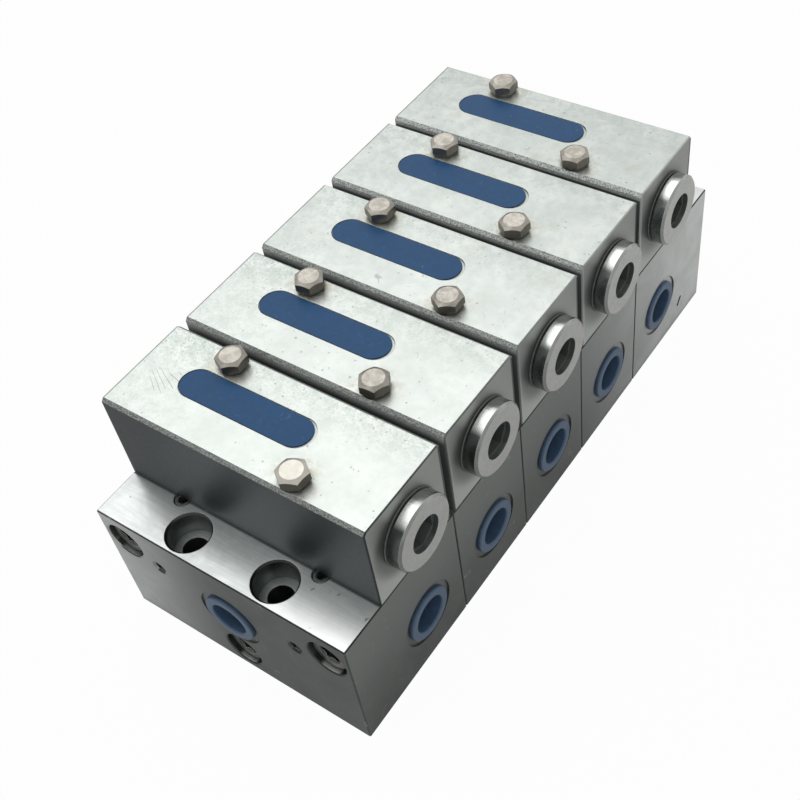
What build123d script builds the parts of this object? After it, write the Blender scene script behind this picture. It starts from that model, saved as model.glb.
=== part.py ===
from build123d import *
import os

# Lubricant divider block, in millimetres, +Z up.
# Five metering valves stand in a row on a base of five steel sections, which three long screws
# draw together. X runs along each valve, Y along the row from the inlet face to the plain end.
# The origin is the middle of the base's lower face.

# Row of stations
stations = 5
pitch = 30.0
valve_gap = 2.0

# Base
base_width = 77.0
base_height = 40.7
front_ledge = 13.9
rear_ledge = 12.9
edge_break = 0.3

# Screws that bolt the block to its machine, M6 with sunk heads
mount_spacing_x = 27.0
mount_inset = 6.8
mount_hole_radius = 3.3
mount_head_radius = 5.5
mount_head_depth = 6.8
mount_mouth = 0.5

# Tie screws that draw the sections together, M6
tie_edge_side = 6.7
tie_edge_top = 8.5
tie_edge_bottom = 7.6
tie_radius = 3.0
tie_hole_radius = 3.3
tie_head_radius = 5.0
tie_head_height = 6.0
tie_head_recess = 1.3
tie_head_bore = 5.5
tie_socket_flats = 5.0
tie_socket_depth = 3.0
tie_engagement = 14.65
tie_hole_runout = 3.0

# Passages drilled in the base
gallery_radius = 3.0
transfer_radius = 1.65
riser_radius = 2.0
outlet_riser_x = 10.0
end_riser_inset = 6.9
inlet_above_tie = 15.1
transfer_below_top = 12.6
passage_runout = 4.0

# Ports for pipe fittings, a quarter inch pipe thread
port_thread_radius = 6.58
port_seat_radius = 9.0
port_seat_depth = 0.4
port_depth = 13.0
port_below_tie = 14.9
port_shift = 0.4

# Plastic cap plugs pressed into the ports
cap_rim_radius = 7.4
cap_cup_radius = 5.05
cap_proud = 0.6
cap_length = 9.0
cap_floor = 1.2
cap_clearance = 0.08
cap_round = 0.45

# Set screws that close the drilled ends of the transfer passages
grub_radius = 1.65
grub_length = 6.0
grub_recess = 3.0
grub_flats = 1.5
grub_sink_radius = 2.2
ledge_grub_radius = 2.35
ledge_grub_recess = 0.3
ledge_grub_flats = 2.5
ledge_grub_setback = 0.1

# Rubber rings where passages cross from one piece to the next
ring_section = 1.3
ring_margin = 0.4

# Metering valves
valve_height = 27.5
valve_top_chamfer = 0.9
bore_radius = 4.0
groove_radius = 5.0
groove_width = 4.4

# Pistons
piston_clearance = 0.03
piston_stroke = 3.2
stop_clearance = 0.05
stop_radius = 2.2
neck_radius = 2.6
centre_land = 5.6
end_land = 5.5
land_setback = 0.4
land_chamfer = 0.3

# End plugs with a sealing ring under the head
plug_thread_radius = 7.0
plug_shank = 10.0
plug_head_radius = 9.55
plug_proud = 4.3
plug_chamfer = 0.6
plug_socket_flats = 8.0
plug_socket_depth = 5.0
plug_mouth_radius = 4.75
plug_mouth_depth = 1.3
plug_turns = (30, 0, 12, 15, 38)
plug_runout = 1.0
seal_radius = 9.75
seal_thickness = 0.35
seal_round = 0.15

# Bolts that hold each valve down, M4 with spring washers
bolt_radius = 2.0
bolt_hole_radius = 2.25
bolt_x = 17.0
bolt_edge = 4.2
bolt_flats = 7.0
bolt_head = 2.8
bolt_face_radius = 2.7
bolt_crown_fall = 0.58
bolt_engagement = 6.6
bolt_hole_runout = 2.4
bolt_turns = ((35, 25), (8, 5), (32, 30), (12, 25), (28, 8))
washer_outer_radius = 3.5
washer_inner_radius = 2.1
washer_thickness = 0.9
washer_split = 0.6
washer_split_turn = 25

# Name plates, left bare, each in a shallow pocket in the valve's top
badge_length = 38.3
badge_height = 8.7
badge_x = -6.25
badge_y = 1.1
badge_thickness = 0.35
badge_margin = 0.2
pocket_spare = 0.6
pocket_depth = 0.4
badge_round = 0.1

# Small slot low in the end section's right face
mark_length = 3.5
mark_width = 1.2
mark_depth = 0.6
mark_end_inset = 13.0
mark_height = 7.6
mark_turn = 56

# Fits that more than one piece uses
thread_clearance = 0.05

# Places worked out from the sizes above
valve_width = pitch - valve_gap
valve_length = base_width
base_length = front_ledge + (stations - 1) * pitch + valve_width + rear_ledge
front_y = -base_length / 2
rear_y = base_length / 2
side_x = base_width / 2
station_ys = [front_y + front_ledge + valve_width / 2 + i * pitch for i in range(stations)]
seam_ys = [y + pitch / 2 for y in station_ys[:-1]]
section_starts = [front_y] + seam_ys
section_ends = seam_ys + [rear_y]

tie_x = side_x - tie_edge_side
tie_z = base_height - tie_edge_top
tie_places = [(-tie_x, tie_z), (tie_x, tie_z), (0, tie_edge_bottom)]
tie_seat_depth = tie_head_recess + tie_head_height
tie_length = section_starts[-1] - front_y - tie_seat_depth + tie_engagement

chamber_half = valve_length / 2 - plug_shank
end_riser_x = chamber_half - end_riser_inset
inlet_z = tie_edge_bottom + inlet_above_tie
port_z = tie_z - port_below_tie
transfer_z = base_height - transfer_below_top
transfer_places = [(-end_riser_x, transfer_z), (end_riser_x, transfer_z)]
riser_floors = {
    -end_riser_x: transfer_z,
    -outlet_riser_x: port_z,
    0: inlet_z,
    outlet_riser_x: port_z,
    end_riser_x: transfer_z,
}

valve_top = base_height + valve_height
axis_z = base_height + valve_height / 2
bolt_y = valve_width / 2 - bolt_edge
bolt_offsets = [(-bolt_x, bolt_y), (bolt_x, -bolt_y)]
bolt_length = washer_thickness + valve_height + bolt_engagement
ledge_grub_y = front_y + front_ledge - ledge_grub_setback


def ring_seat_radius(passage_radius):
    # The round recess that a sealing ring lies in, around a passage
    return passage_radius + ring_section + 2 * ring_margin


def ring_radius(passage_radius):
    # The middle line of that ring
    return passage_radius + ring_margin + ring_section / 2


def side_plane(side, y, z):
    # A plane on the base's left (-1) or right (1) face, looking outwards
    return Plane(origin=(side * side_x, y, z), x_dir=(0, side, 0), z_dir=(side, 0, 0))


def port_planes(y):
    # The two outlet ports of the station at y
    return [side_plane(side, y + port_shift, port_z) for side in (1, -1)]


def manifold_section(index):
    # One section of the base, with the passages, ports and tapped holes of its station
    start = section_starts[index]
    end = section_ends[index]
    y = station_ys[index]
    first = index == 0
    last = index == stations - 1
    passage_end = y + passage_runout if last else end
    with BuildPart() as section:
        with BuildSketch(Plane.XZ.offset(-end)):
            with Locations((0, base_height / 2)):
                Rectangle(base_width, base_height)
        extrude(amount=end - start)
        chamfer(section.edges(), edge_break)

        # Supply gallery and the two transfer passages, along the row
        with BuildSketch(Plane.XZ.offset(-start)):
            with Locations((0, inlet_z)):
                Circle(gallery_radius)
            with Locations(*transfer_places):
                Circle(transfer_radius)
        extrude(amount=start - passage_end, mode=Mode.SUBTRACT)

        # Risers to the valve, each with a ring seat at its top
        for x, floor in riser_floors.items():
            with Locations((x, y, base_height)):
                CounterBoreHole(
                    riser_radius,
                    ring_seat_radius(riser_radius),
                    ring_section,
                    depth=base_height - floor,
                )

        # Outlet ports, and the drillings that feed them from the outlet risers
        with Locations(*port_planes(y)):
            CounterBoreHole(
                port_thread_radius, port_seat_radius, port_seat_depth, depth=port_depth
            )
            Hole(riser_radius, depth=side_x - outlet_riser_x)

        # Tapped holes for the valve's bolts
        with Locations(*[(x, y + dy, base_height) for x, dy in bolt_offsets]):
            Hole(bolt_radius + thread_clearance, depth=bolt_engagement + bolt_hole_runout)

        # Tie screws pass through every section and are tapped into the last
        tie_hole = tie_radius + thread_clearance if last else tie_hole_radius
        tie_depth = tie_engagement + tie_hole_runout if last else end - start
        with BuildSketch(Plane.XZ.offset(-start)):
            with Locations(*tie_places):
                Circle(tie_hole)
        extrude(amount=-tie_depth, mode=Mode.SUBTRACT)

        # Ring seats around the passages, in the joint to the next section
        if not last:
            with BuildSketch(Plane.XZ.offset(-end)):
                with Locations((0, inlet_z)):
                    Circle(ring_seat_radius(gallery_radius))
                with Locations(*transfer_places):
                    Circle(ring_seat_radius(transfer_radius))
            extrude(amount=ring_section, mode=Mode.SUBTRACT)

        # Mounting holes with sunk heads, in the ledges at the two ends of the row
        if first or last:
            mount_y = start + mount_inset if first else end - mount_inset
            with Locations((0, mount_y, base_height)):
                with GridLocations(mount_spacing_x, 0, 2, 1):
                    CounterBoreHole(mount_hole_radius, mount_head_radius, mount_head_depth)
            mouths = section.edges().filter_by(GeomType.CIRCLE).group_by(Axis.Z)[-1]
            mouths = mouths.filter_by(lambda edge: abs(edge.radius - mount_head_radius) < 0.01)
            chamfer(mouths, mount_mouth)

        if first:
            # Inlet port
            front = Plane.XZ.offset(-start)
            with Locations(front):
                with Locations((0, inlet_z)):
                    CounterBoreHole(
                        port_thread_radius, port_seat_radius, port_seat_depth, depth=port_depth
                    )
                # Sunk heads of the tie screws
                with Locations(*tie_places):
                    Hole(tie_head_bore, depth=tie_seat_depth)
                # Plugged ends of the transfer passages
                with Locations(*transfer_places):
                    CounterSinkHole(
                        grub_radius + thread_clearance,
                        grub_sink_radius,
                        depth=grub_recess + grub_length,
                        counter_sink_angle=90,
                    )
            mouths = section.edges().filter_by(GeomType.CIRCLE).group_by(Axis.Y)[0]
            mouths = mouths.filter_by(lambda edge: abs(edge.radius - tie_head_bore) < 0.01)
            chamfer(mouths, edge_break)
            # Drillings from the ledge down to the transfer passages
            with Locations(*[(x, ledge_grub_y, base_height) for x, z in transfer_places]):
                CounterBoreHole(
                    riser_radius,
                    ledge_grub_radius + thread_clearance,
                    ledge_grub_recess + grub_length,
                    depth=base_height - transfer_z,
                )

        if last:
            with BuildSketch(side_plane(1, end - mark_end_inset, mark_height)):
                SlotOverall(mark_length, mark_width, rotation=mark_turn)
            extrude(amount=-mark_depth, mode=Mode.SUBTRACT)
    return section.part


def valve_body(index):
    # A ground steel bar, bored from its right end for the piston and the end plug
    y = station_ys[index]
    with BuildPart() as body:
        with BuildSketch(Plane.YZ.offset(-valve_length / 2)) as bar:
            with Locations((y, base_height)):
                Rectangle(valve_width, valve_height, align=(Align.CENTER, Align.MIN))
            chamfer(bar.vertices().group_by(Axis.Y)[-1], valve_top_chamfer)
            chamfer(bar.vertices().group_by(Axis.Y)[0], edge_break)
        extrude(amount=valve_length)
        chamfer(body.faces().filter_by(Axis.X).edges(), edge_break)

        # Piston bore, its annular grooves and the tapped mouth, turned about the valve's axis
        with BuildSketch(Plane.XZ.offset(-y)):
            with Locations((valve_length / 2, axis_z)):
                Rectangle(valve_length - plug_shank, bore_radius, align=(Align.MAX, Align.MIN))
                Rectangle(
                    plug_shank + plug_runout,
                    plug_thread_radius + thread_clearance,
                    align=(Align.MAX, Align.MIN),
                )
            with Locations(*[(x, axis_z) for x in riser_floors]):
                Rectangle(groove_width, groove_radius, align=(Align.CENTER, Align.MIN))
        revolve(axis=Axis((0, y, axis_z), (1, 0, 0)), mode=Mode.SUBTRACT)

        # Risers from the lower face to the grooves
        with BuildSketch(Plane.XY.offset(base_height)):
            with Locations(*[(x, y) for x in riser_floors]):
                Circle(riser_radius)
        extrude(amount=valve_height / 2, mode=Mode.SUBTRACT)

        # Bolt holes
        with Locations(*[(x, y + dy, valve_top) for x, dy in bolt_offsets]):
            Hole(bolt_hole_radius)

        # Pocket for the name plate, a little longer than the plate at its right end
        with BuildSketch(Plane.XY.offset(valve_top)):
            with Locations((badge_x + pocket_spare / 2, y + badge_y)):
                SlotOverall(
                    badge_length + 2 * badge_margin + pocket_spare,
                    badge_height + 2 * badge_margin,
                )
        extrude(amount=-pocket_depth, mode=Mode.SUBTRACT)
    return body.part


def piston(index):
    # A spool with three lands: the middle one shuts the supply, the outer two meter the ends
    y = station_ys[index]
    half_length = chamber_half - piston_stroke - stop_clearance
    lands_end = end_riser_x - groove_width / 2 - land_setback
    with BuildPart() as spool:
        with BuildSketch(Plane.XZ.offset(-y)) as profile:
            with Locations((0, axis_z)):
                Rectangle(2 * half_length, stop_radius, align=(Align.CENTER, Align.MIN))
                Rectangle(2 * lands_end, neck_radius, align=(Align.CENTER, Align.MIN))
                Rectangle(
                    centre_land, bore_radius - piston_clearance, align=(Align.CENTER, Align.MIN)
                )
            for side in (-1, 1):
                with Locations((side * (lands_end - end_land / 2), axis_z)):
                    Rectangle(
                        end_land, bore_radius - piston_clearance, align=(Align.CENTER, Align.MIN)
                    )
            chamfer(profile.vertices().group_by(Axis.Y)[-1], land_chamfer)
        revolve(axis=Axis((0, y, axis_z), (1, 0, 0)))
    return spool.part


def end_plug(index):
    # A turned plug with a round head, screwed into the valve's right end. The hexagon socket
    # starts below a round mouth
    y = station_ys[index]
    turn = plug_turns[index % len(plug_turns)]
    valve_end = valve_length / 2
    with BuildPart() as plug:
        with BuildSketch(Plane.XZ.offset(-y)) as profile:
            with Locations((valve_end - plug_shank, axis_z)):
                Rectangle(
                    plug_shank + seal_thickness, plug_thread_radius, align=(Align.MIN, Align.MIN)
                )
            with Locations((valve_end + seal_thickness, axis_z)):
                Rectangle(
                    plug_proud - seal_thickness, plug_head_radius, align=(Align.MIN, Align.MIN)
                )
            chamfer(profile.vertices().group_by(Axis.Y)[-1], plug_chamfer)
        revolve(axis=Axis((0, y, axis_z), (1, 0, 0)))
        with BuildSketch(Plane.YZ.offset(valve_end + plug_proud)):
            with Locations((y, axis_z)):
                RegularPolygon(plug_socket_flats / 2, 6, major_radius=False, rotation=turn)
        extrude(amount=-plug_socket_depth, mode=Mode.SUBTRACT)
        with Locations(Plane.YZ.offset(valve_end + plug_proud)):
            with Locations((y, axis_z)):
                Hole(plug_mouth_radius, depth=plug_mouth_depth)
        chamfer(plug.faces().sort_by(Axis.X)[0].edges(), edge_break)
    return plug.part


def end_plug_seal(index):
    # The black ring squeezed between the plug's head and the valve
    y = station_ys[index]
    inner = plug_thread_radius + thread_clearance
    with BuildPart() as seal:
        with BuildSketch(Plane.XZ.offset(-y)) as profile:
            with Locations((valve_length / 2, axis_z + inner)):
                Rectangle(seal_thickness, seal_radius - inner, align=(Align.MIN, Align.MIN))
            fillet(profile.vertices().group_by(Axis.Y)[-1], seal_round)
        revolve(axis=Axis((0, y, axis_z), (1, 0, 0)))
    return seal.part


def valve_bolt():
    # One hexagon bolt, its head standing on the origin
    with BuildPart() as bolt:
        with BuildSketch():
            RegularPolygon(bolt_flats / 2, 6, major_radius=False)
        extrude(amount=bolt_head)
        # The corners of the head are turned off to a round face
        corner = bolt_flats / 3**0.5 + edge_break  # just outside the head's corners
        with BuildSketch(Plane.XZ):
            with BuildLine():
                Polyline(
                    (0, 0),
                    (corner, 0),
                    (corner, bolt_head - (corner - bolt_face_radius) * bolt_crown_fall),
                    (bolt_face_radius, bolt_head),
                    (0, bolt_head),
                    close=True,
                )
            make_face()
        revolve(mode=Mode.INTERSECT)
        with BuildSketch():
            Circle(bolt_radius)
        extrude(amount=-bolt_length)
        chamfer(bolt.faces().sort_by(Axis.Z)[0].edges(), edge_break)
    return bolt.part


def lock_washer():
    # One split spring washer, lying on the origin
    with BuildPart() as washer:
        with BuildSketch():
            Circle(washer_outer_radius)
            Circle(washer_inner_radius, mode=Mode.SUBTRACT)
            with Locations((washer_outer_radius / 2 + washer_inner_radius / 2, 0)):
                Rectangle(
                    washer_outer_radius,
                    washer_split,
                    rotation=washer_split_turn,
                    mode=Mode.SUBTRACT,
                )
        extrude(amount=washer_thickness)
    return washer.part


def on_bolts(piece, index, height):
    # A copy of the piece on each of a valve's two bolt centres, turned as that bolt is
    turns = bolt_turns[index % len(bolt_turns)]
    with BuildPart() as pair:
        for (x, dy), turn in zip(bolt_offsets, turns):
            with Locations(Location((x, station_ys[index] + dy, height), (0, 0, turn))):
                add(piece)
    return pair.part


def badge(index):
    # A thin plate with round ends, in the pocket in the valve's top
    with BuildPart() as plate:
        with BuildSketch(Plane.XY.offset(valve_top - pocket_depth)):
            with Locations((badge_x, station_ys[index] + badge_y)):
                SlotOverall(badge_length, badge_height)
        extrude(amount=badge_thickness)
        fillet(plate.faces().sort_by(Axis.Z)[-1].edges(), badge_round)
    return plate.part


def valve_seals(index):
    # The rubber rings round the risers, under one valve
    y = station_ys[index]
    with BuildPart() as seals:
        with Locations(*[(x, y, base_height - ring_section / 2) for x in riser_floors]):
            Torus(ring_radius(riser_radius), ring_section / 2)
    return seals.part


def block_seals(index):
    # The rubber rings in the joint between this section and the next
    with BuildPart() as seals:
        with Locations(Plane.XZ.offset(ring_section / 2 - seam_ys[index])):
            with Locations((0, inlet_z)):
                Torus(ring_radius(gallery_radius), ring_section / 2)
            with Locations(*transfer_places):
                Torus(ring_radius(transfer_radius), ring_section / 2)
    return seals.part


def cap_plug():
    # One moulded cap plug, its port's mouth at the origin and its cup open upwards
    with BuildPart() as cap:
        with BuildSketch(Plane.XY.offset(-port_seat_depth)):
            Circle(cap_rim_radius)
        extrude(amount=port_seat_depth + cap_proud)
        with BuildSketch(Plane.XY.offset(-port_seat_depth)):
            Circle(port_thread_radius - cap_clearance)
        extrude(amount=port_seat_depth - cap_length)
        with Locations((0, 0, cap_proud)):
            Hole(cap_cup_radius, depth=cap_proud + cap_length - cap_floor)
        fillet(cap.edges().group_by(Axis.Z)[-1], cap_round)
        chamfer(cap.edges().group_by(Axis.Z)[0], edge_break)
    return cap.part


def tie_screw():
    # One long cap screw, the inlet face at the origin and its head sunk below it
    with BuildPart() as screw:
        with BuildSketch(Plane.XY.offset(-tie_seat_depth)):
            Circle(tie_head_radius)
        extrude(amount=tie_head_height)
        chamfer(screw.edges().group_by(Axis.Z)[-1], edge_break)
        with BuildSketch(Plane.XY.offset(-tie_head_recess)):
            RegularPolygon(tie_socket_flats / 2, 6, major_radius=False)
        extrude(amount=-tie_socket_depth, mode=Mode.SUBTRACT)
        with Locations((0, 0, -tie_head_recess)):
            Cone(
                tie_socket_flats / 2,
                tie_socket_flats / 2 + 2 * edge_break,
                2 * edge_break,
                align=(Align.CENTER, Align.CENTER, Align.MAX),
                mode=Mode.SUBTRACT,
            )
        with BuildSketch(Plane.XY.offset(-tie_seat_depth)):
            Circle(tie_radius)
        extrude(amount=-tie_length)
        chamfer(screw.edges().group_by(Axis.Z)[0], edge_break)
    return screw.part


def set_screw(radius, flats, recess):
    # One headless screw, its hole's mouth at the origin
    with BuildPart() as screw:
        with BuildSketch(Plane.XY.offset(-recess)):
            Circle(radius)
        extrude(amount=-grub_length)
        chamfer(screw.edges(), edge_break)
        with BuildSketch(Plane.XY.offset(-recess)):
            RegularPolygon(flats / 2, 6, major_radius=False)
        extrude(amount=-grub_length / 2, mode=Mode.SUBTRACT)
    return screw.part


pieces = {}

# The base, from the inlet face to the plain end
middle_sections = stations - 2
section_names = ["inlet_block"] + [f"middle_block_{i + 1}" for i in range(middle_sections)]
section_names.append("end_block")
for index, name in enumerate(section_names):
    pieces[name] = manifold_section(index)

# The valves and all that each one holds
one_bolt = valve_bolt()
one_washer = lock_washer()
one_cap = cap_plug()
for index in range(stations):
    number = index + 1
    pieces[f"valve_body_{number}"] = valve_body(index)
    pieces[f"piston_{number}"] = piston(index)
    pieces[f"end_plug_{number}"] = end_plug(index)
    pieces[f"end_plug_seal_{number}"] = end_plug_seal(index)
    pieces[f"valve_bolts_{number}"] = on_bolts(one_bolt, index, valve_top + washer_thickness)
    pieces[f"lock_washers_{number}"] = on_bolts(one_washer, index, valve_top)
    pieces[f"badge_{number}"] = badge(index)
    pieces[f"valve_seals_{number}"] = valve_seals(index)
    with BuildPart() as caps:
        with Locations(*port_planes(station_ys[index])):
            add(one_cap)
    pieces[f"outlet_caps_{number}"] = caps.part

# The rings in the joints between the sections
for index in range(stations - 1):
    pieces[f"block_seals_{index + 1}"] = block_seals(index)

# The pieces in the inlet face and on the front ledge
with BuildPart() as inlet_cap:
    with Locations(Plane.XZ.offset(-front_y)):
        with Locations((0, inlet_z)):
            add(one_cap)
pieces["inlet_cap"] = inlet_cap.part

one_tie_screw = tie_screw()
with BuildPart() as tie_screws:
    with Locations(Plane.XZ.offset(-front_y)):
        with Locations(*tie_places):
            add(one_tie_screw)
pieces["tie_screws"] = tie_screws.part

one_grub = set_screw(grub_radius, grub_flats, grub_recess)
with BuildPart() as passage_screws:
    with Locations(Plane.XZ.offset(-front_y)):
        with Locations(*transfer_places):
            add(one_grub)
pieces["passage_screws"] = passage_screws.part

one_ledge_grub = set_screw(ledge_grub_radius, ledge_grub_flats, ledge_grub_recess)
with BuildPart() as ledge_screws:
    with Locations(*[(x, ledge_grub_y, base_height) for x, z in transfer_places]):
        add(one_ledge_grub)
pieces["ledge_screws"] = ledge_screws.part

os.makedirs("parts", exist_ok=True)
for name, piece in pieces.items():
    piece.label = name
    export_step(piece, f"parts/{name}.step")
print(len(pieces), "nodes; base", base_width, "x", round(base_length, 2), "x", base_height)
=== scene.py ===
# %% [markdown]
# # A lubricant divider block on a studio floor
#
# A divider block shares one supply of grease or oil between many bearings. Five metering valves, ground
# steel bars, are bolted side by side on a base made of five steel sections. The solid model already has
# every size right, so this lesson doesn't model the block again. It loads the solids, gives each surface
# the finish of the real metal, plastic and rubber, and sets up a small studio round them.

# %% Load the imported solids
import math

import bpy
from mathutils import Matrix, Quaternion, Vector


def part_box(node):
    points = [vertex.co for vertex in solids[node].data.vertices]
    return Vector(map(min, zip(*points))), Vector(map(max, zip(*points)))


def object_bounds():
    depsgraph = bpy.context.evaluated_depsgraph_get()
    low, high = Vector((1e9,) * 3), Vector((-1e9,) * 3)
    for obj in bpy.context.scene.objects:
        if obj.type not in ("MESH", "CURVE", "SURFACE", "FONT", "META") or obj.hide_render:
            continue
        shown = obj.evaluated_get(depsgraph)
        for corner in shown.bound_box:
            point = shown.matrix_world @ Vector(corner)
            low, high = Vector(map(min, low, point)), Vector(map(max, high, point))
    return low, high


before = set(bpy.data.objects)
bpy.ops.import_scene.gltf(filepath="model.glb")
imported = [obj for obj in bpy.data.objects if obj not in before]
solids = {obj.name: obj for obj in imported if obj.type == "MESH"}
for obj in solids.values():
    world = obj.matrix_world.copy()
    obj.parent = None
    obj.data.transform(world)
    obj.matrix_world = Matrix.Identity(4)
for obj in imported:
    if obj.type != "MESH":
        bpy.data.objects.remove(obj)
solid_low, solid_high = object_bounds()
print("solids loaded:", len(solids))
print("box from", tuple(round(v, 4) for v in solid_low), "to", tuple(round(v, 4) for v in solid_high))

# %% [markdown]
# ## The camera
#
# The picture was taken from the front right corner, well above the block, with the camera tipped a little
# to one side. A long lens from far away would make the rows look parallel. This camera is close, about a
# third of a metre off, so the far valves look clearly smaller. The angles below turn the camera in three
# plain steps: round the block, down towards it, and then a roll about its own line of sight.

# %% Place the camera
MM = 0.001
camera_place = Vector((144.8, -169.55, 265.4)) * MM
camera_azimuth = math.radians(43.32)
camera_elevation = math.radians(49.42)
camera_roll = math.radians(-10.86)
camera_lens = 53.44
camera_raise = 0.0375

ahead = Vector(
    (
        -math.sin(camera_azimuth) * math.cos(camera_elevation),
        math.cos(camera_azimuth) * math.cos(camera_elevation),
        -math.sin(camera_elevation),
    )
)
camera_data = bpy.data.cameras.new("studio_camera")
camera_data.sensor_width = 36.0
camera_data.lens = camera_lens
camera_data.shift_y = camera_raise
camera_data.clip_start = 0.01
camera_data.clip_end = 20.0
camera = bpy.data.objects.new("studio_camera", camera_data)
camera.rotation_mode = "QUATERNION"
camera.rotation_quaternion = ahead.to_track_quat("-Z", "Y") @ Quaternion((0, 0, 1), camera_roll)
camera.location = camera_place
bpy.context.scene.collection.objects.link(camera)
bpy.context.scene.camera = camera
print("camera is", round(camera_place.length * 1000), "mm from the middle of the base")

# %% [markdown]
# ## Small helpers for node trees
#
# Every finish below is a tree of shader nodes. Making each node by hand takes three lines, which hides the
# idea of the finish. A few helpers keep it short: two set or link sockets, one adds a node, four work on
# numbers and vectors, one mixes two colours, two turn a range of values into a soft mask between 0 and 1,
# and the last turns such a mask into a value.

# %% Define the node helpers
def wire(tree, value, socket):
    """Links an output to a socket, or sets a plain number, vector or colour on it."""
    if isinstance(value, bpy.types.NodeSocket):
        tree.links.new(value, socket)
    elif isinstance(value, tuple) and len(value) == 3 and socket.type == "RGBA":
        socket.default_value = (*value, 1.0)
    else:
        socket.default_value = value


def feed(tree, node, **sockets):
    """Wires sockets of a node. Each is named in words, with an underscore for each space."""
    for name, value in sockets.items():
        wire(tree, value, node.inputs[name.replace("_", " ")])


def node_in(tree, kind, settings=(), **sockets):
    """Adds a node with its settings and feeds its sockets."""
    node = tree.nodes.new("ShaderNode" + kind)
    for name, value in dict(settings).items():
        setattr(node, name, value)
    feed(tree, node, **sockets)
    return node


def calc(tree, operation, *values, clamp=False):
    """One step of arithmetic on numbers or sockets."""
    node = node_in(tree, "Math", {"operation": operation, "use_clamp": clamp})
    for value, socket in zip(values, node.inputs):
        wire(tree, value, socket)
    return node.outputs[0]


def times(tree, first, second):
    """The product of two numbers or sockets, the step that masks need most often."""
    return calc(tree, "MULTIPLY", first, second)


def vector_step(tree, operation, first, second):
    """One step of arithmetic on two vectors."""
    node = node_in(tree, "VectorMath", {"operation": operation})
    wire(tree, first, node.inputs[0])
    wire(tree, second, node.inputs[1])
    return node.outputs


def axes(tree, vector):
    """The X, Y and Z of a vector."""
    return node_in(tree, "SeparateXYZ", Vector=vector).outputs


def mixed(tree, share, first, second, how="MIX"):
    """A colour that goes from the first to the second as the share goes from 0 to 1."""
    node = node_in(tree, "Mix", {"data_type": "RGBA", "blend_type": how})
    # A Mix node has a set of sockets for each kind of data, and these are the ones for colours
    for value, socket in zip((share, first, second), (node.inputs[0], node.inputs[6], node.inputs[7])):
        wire(tree, value, socket)
    return node.outputs[2]


def soft_step(tree, value, low, high, start=0.0, end=1.0):
    """Start below the low value, end above the high one, and a smooth change between them."""
    node = node_in(tree, "MapRange", {"interpolation_type": "SMOOTHSTEP"})
    named = {"Value": value, "From Min": low, "From Max": high, "To Min": start, "To Max": end}
    for name, given in named.items():
        wire(tree, given, node.inputs[name])
    return node.outputs["Result"]


def fade_out(tree, value, low, high):
    """1 below the low value, 0 above the high one, and a smooth change between them."""
    return soft_step(tree, value, low, high, 1.0, 0.0)


def between(tree, share, first, last):
    """A value that goes smoothly from the first to the last as the share goes from 0 to 1."""
    return soft_step(tree, share, 0.0, 1.0, first, last)


print("helpers ready")

# %% [markdown]
# ## Shared effects as node groups
#
# Worn corners, dark specks, cloudy plating, and grime with painted shade appear on many parts. Each is a
# node group, built once with named inputs, and then placed in each finish with values of its own. A group
# only gives out masks, heights and normals. The shader itself stays in the material, where its plain numbers
# can be read and changed at a glance.

# %% Define how a group is built and placed
def start_group(name, inputs, outputs):
    """A new node group. Each input is a name and its default, or None for a vector that is always linked."""
    tree = bpy.data.node_groups.new(name, "ShaderNodeTree")
    for label, default in inputs.items():
        kind = "Float" if isinstance(default, float) else "Vector"
        socket = tree.interface.new_socket(label, in_out="INPUT", socket_type="NodeSocket" + kind)
        if default is not None:
            socket.default_value = default
    for label, kind in outputs.items():
        tree.interface.new_socket(label, in_out="OUTPUT", socket_type="NodeSocket" + kind)
    return tree, tree.nodes.new("NodeGroupInput").outputs, tree.nodes.new("NodeGroupOutput").inputs


def placed(tree, group, **sockets):
    """Puts a group in a material and returns its outputs."""
    node = node_in(tree, "Group", {"node_tree": group}, **sockets)
    return node.outputs


print("group helpers ready")

# %% [markdown]
# **Rounded corners.** No corner on a real part is a perfect knife edge: it is broken by a fraction of a
# millimetre, and that thin line catches the light. The Bevel node makes shading believe in such a rounding
# without any extra faces. Where its normal leaves the true one, the surface is near a corner, so the
# difference of the two is also a mask for wear.

# %% Build the worn corner group
worn_corner, given, result = start_group(
    "Worn corner",
    {"Radius": 0.2 * MM, "Width": 0.06},
    {"Wear": "Float", "Normal": "Vector"},
)
corner = node_in(worn_corner, "Bevel", {"samples": 6}, Radius=given["Radius"])
flat_normal = node_in(worn_corner, "NewGeometry").outputs["Normal"]
agreement = vector_step(worn_corner, "DOT_PRODUCT", corner.outputs["Normal"], flat_normal)["Value"]
turned_away = calc(worn_corner, "SUBTRACT", 1.0, agreement)
wire(worn_corner, soft_step(worn_corner, turned_away, 0.01, given["Width"]), result["Wear"])
wire(worn_corner, corner.outputs["Normal"], result["Normal"])
print("group:", worn_corner.name)

# %% [markdown]
# **Specks.** Plated steel has dark pin-pricks where the plating is thin. A Voronoi texture scatters points
# with one in each cell. Giving every cell its own threshold makes the specks differ in size, and many cells
# have none. A fine noise first pushes the coordinates about a little, so that no speck is round.

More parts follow.
